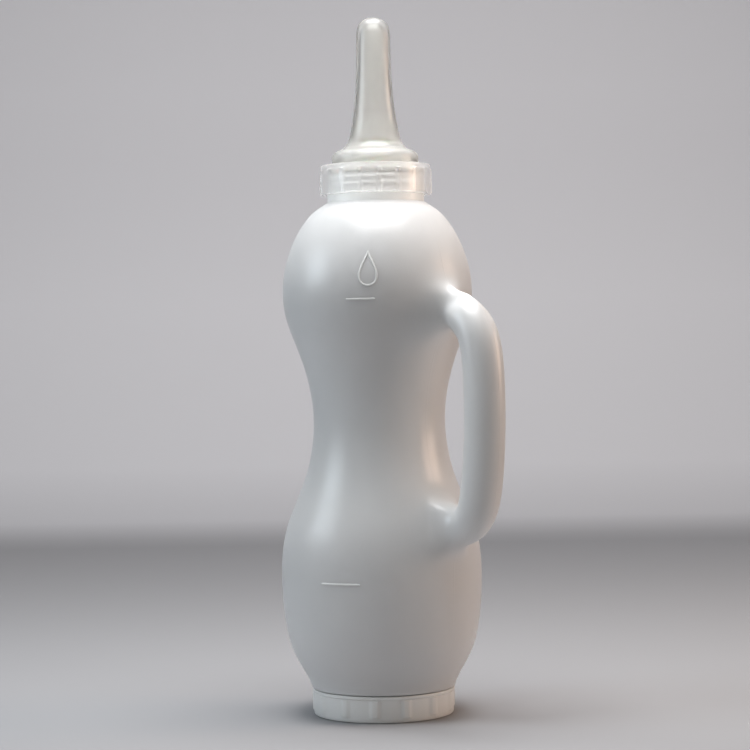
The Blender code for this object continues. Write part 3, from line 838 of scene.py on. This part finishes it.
def base(finish, rubber):
    """The ribbed screw cap under the bottle, and its flat seal."""
    low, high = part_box("base_cap")[0].z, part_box("base_cap")[1].z
    groove = low + GROOVE_DEPTH

    def relief(radius, height, angle):
        if abs(radius - CAP_R) < NEAR / 2:
            return rib_relief(CAP_RIBS, height, low + 2.6 * MM, high - 1.6 * MM, angle)
        if abs(radius - CAP_BORE_R) < NEAR / 2:
            return thread_relief(CAP_THREAD, height, angle)
        return 0.0

    rim = rounded((
        (CAP_BORE_R, high - MM), (CAP_BORE_R, high, 0.4 * MM),
        (CAP_BEAD_R, high, 0.5 * MM), (CAP_BEAD_R, high - 1.8 * MM, 0.6 * MM),
        (CAP_R, high - 2.4 * MM, 0.4 * MM), (CAP_R, high - 2.8 * MM),
    ))
    grip_top, grip_height = high - 3.0 * MM, high - low - 6.0 * MM
    grip = [(CAP_R, grip_top - grip_height * i / CAP_GRIP_ROWS) for i in range(CAP_GRIP_ROWS + 1)]
    under = rounded((
        (CAP_R, low + 3.0 * MM), (CAP_R, low, 2.4 * MM),
        (GROOVE_OUTER_R, low, 0.4 * MM), (GROOVE_OUTER_R - GROOVE_WALL, groove, 0.4 * MM),
        (GROOVE_INNER_R + GROOVE_WALL, groove, 0.4 * MM), (GROOVE_INNER_R, low, 0.4 * MM),
        (CAP_MIDDLE_R, low),
    ))
    inside = rounded((
        (CAP_BORE_R, CAP_FLOOR + MM), (CAP_BORE_R, CAP_FLOOR, 0.8 * MM), (CAP_MIDDLE_R, CAP_FLOOR),
    ))
    threaded = thread_rows(CAP_BORE_R, CAP_FLOOR + 1.2 * MM, high - 1.2 * MM)
    outline = [*reversed(inside), *threaded, *rim, *grip, *under]
    made = turned(outline, around(CAP_RIBS * CAP_RIB_STEPS), relief, capped=True)
    finished("base_screw_cap", made, finish, "base", "cap_polyethylene", "base_cap")

    seal_low, seal_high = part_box("base_seal")[0].z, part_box("base_seal")[1].z
    ring = rounded((
        (SEAL_INNER_R, seal_low, SEAL_ROUNDING), (SEAL_OUTER_R, seal_low, SEAL_ROUNDING),
        (SEAL_OUTER_R, seal_high, SEAL_ROUNDING), (SEAL_INNER_R, seal_high, SEAL_ROUNDING),
    ))
    finished("seal_ring", turned(ring, around(SEAL_STEPS)), rubber, "seal", "seal_rubber", "base_seal")


# ---------------------------------------------------------------- stage


def from_camera(right, away, height):
    """A point placed as the camera sees it: to its right, away from it beyond the bottle's axis, and up."""
    side = Vector((math.cos(CAMERA_AZIMUTH), math.sin(CAMERA_AZIMUTH), 0))
    ahead = Vector((-math.sin(CAMERA_AZIMUTH), math.cos(CAMERA_AZIMUTH), 0))
    return side * right + ahead * away + Vector((0, 0, height))


def backdrop(finish):
    """A sheet of paper that lies on the table and curves up behind the bottle, facing the camera."""
    profile = [(-PAPER_FRONT, 0.0), (PAPER_BEND_START, 0.0)]
    for i in range(1, PAPER_BEND_STEPS + 1):
        angle = TURN / 4 * i / PAPER_BEND_STEPS
        profile.append((PAPER_BEND_START + PAPER_BEND * math.sin(angle), PAPER_BEND * (1 - math.cos(angle))))
    profile.append((PAPER_BEND_START + PAPER_BEND, PAPER_TOP))
    mesh_data = bmesh.new()
    rows = []
    for away, height in profile:
        ends = [from_camera(right, away, height) for right in (-PAPER_SIDE, PAPER_SIDE)]
        rows.append([mesh_data.verts.new(end) for end in ends])
    for (a, b), (c, d) in zip(rows, rows[1:]):
        mesh_data.faces.new((a, b, d, c))
    mesh = bpy.data.meshes.new("backdrop")
    mesh_data.to_mesh(mesh)
    mesh_data.free()
    mesh.shade_smooth()
    mesh.materials.append(finish)
    paper = bpy.data.objects.new("backdrop", mesh)
    bpy.context.scene.collection.objects.link(paper)
    return paper


def area_light(name, place, target, size, power, colour):
    """A rectangular lamp that the camera doesn't see."""
    lamp = bpy.data.lights.new(name, "AREA")
    lamp.shape = "RECTANGLE"
    lamp.size, lamp.size_y = size
    lamp.energy = power
    lamp.color = colour
    made = bpy.data.objects.new(name, lamp)
    made.location = place
    made.rotation_euler = (Vector(target) - Vector(place)).to_track_quat("-Z", "Y").to_euler()
    made.visible_camera = False
    bpy.context.scene.collection.objects.link(made)
    return made


def lit_only(lamp, pieces):
    """Lets a lamp light these pieces alone, and hides it from reflections and from clear pieces."""
    receivers = bpy.data.collections.new(lamp.name)
    for piece in pieces:
        receivers.objects.link(piece)
    lamp.light_linking.receiver_collection = receivers
    lamp.visible_glossy = False
    lamp.visible_transmission = False


def lights(paper, translucent):
    """Soft lamps overhead and in front, a cool one on the left, a warm one on the right, dim surroundings.

    The side lamps are hidden from rays through clear pieces, so that they aren't seen through the teat.
    Two glow lamps light only the clear pieces and what is inside them. They stand for light that scatters
    in clear plastic. The last lamp lights only the paper.
    """
    lamps = {}
    for name, (place, target, size, power, colour) in LAMPS.items():
        lamps[name] = area_light(name, from_camera(*place), from_camera(*target), size, power, colour)
    lamps["fill"].visible_glossy = False
    lamps["left"].visible_transmission = False
    lamps["right"].visible_transmission = False
    lit_only(lamps["glow_front"], translucent)
    lit_only(lamps["glow_back"], translucent)
    lit_only(lamps["wash"], [paper])
    world = bpy.data.worlds.new("studio")
    world.use_nodes = True
    background = world.node_tree.nodes["Background"]
    background.inputs["Color"].default_value = SURROUNDINGS
    background.inputs["Strength"].default_value = SURROUNDINGS_STRENGTH
    bpy.context.scene.world = world


def camera():
    """The photographed view."""
    made = bpy.data.objects.new("camera", bpy.data.cameras.new("camera"))
    made.data.lens = CAMERA_LENS
    made.data.sensor_width = CAMERA_SENSOR
    made.location = from_camera(0, -CAMERA_DISTANCE, CAMERA_HEIGHT)
    drop = CAMERA_DISTANCE * math.tan(CAMERA_TILT)
    aim = from_camera(-CAMERA_AIM_LEFT, 0, CAMERA_HEIGHT - drop) - made.location
    facing = aim.to_track_quat("-Z", "Y").to_matrix()
    made.rotation_euler = (facing @ Matrix.Rotation(CAMERA_ROLL, 3, "Z")).to_euler()
    bpy.context.scene.collection.objects.link(made)
    bpy.context.scene.camera = made


def main():
    camera()
    bpy.context.scene.view_settings.view_transform = "Standard"
    paper = backdrop(studio_paper())
    ivory = valve_plastic()
    white = polyethylene("white_polyethylene", *BOTTLE_WHITES, subsurface=0.7, depth=12 * MM)
    firm = polyethylene("firm_polyethylene", *BOTTLE_WHITES, subsurface=0.3, depth=3 * MM)
    bottle(white, firm)
    clear = [collar(clear_polypropylene()), teat(silicone())]
    lights(paper, [neck(firm), *clear, *valve(ivory, stainless_steel())])
    base(polyethylene("cap_polyethylene", *CAP_WHITES, subsurface=0.4, depth=4 * MM), seal_rubber())


main()
